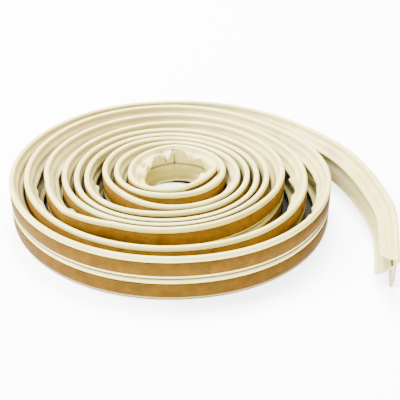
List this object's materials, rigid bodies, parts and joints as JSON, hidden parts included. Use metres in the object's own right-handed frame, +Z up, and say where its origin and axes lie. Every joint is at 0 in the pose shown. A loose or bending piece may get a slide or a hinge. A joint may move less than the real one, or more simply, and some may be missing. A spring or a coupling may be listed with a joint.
{
  "type": "rubber door weatherstrip",
  "caption": "Loosely wound coil of cream self-adhesive rubber lip seal in a joined pair, with golden release paper on its back and one end hanging free.",
  "frame": {"origin": "on the floor under the middle of the bounding box, at the strip's lower edge", "axes": "+Z up, across the strip's width, along the coil's axis; +X from the coil towards the free tail, along the longest side; -Y towards the viewer, where the cut end of the tail points"},
  "size_m": [0.1492, 0.1262, 0.018],
  "materials": {
    "cream_rubber": "matte",
    "golden_paper": "satin"
  },
  "bodies": {
    "root": {"rubber_twin_strip": "cream_rubber", "release_liner_lower": "golden_paper", "release_liner_upper": "golden_paper"}
  },
  "joints": []
}
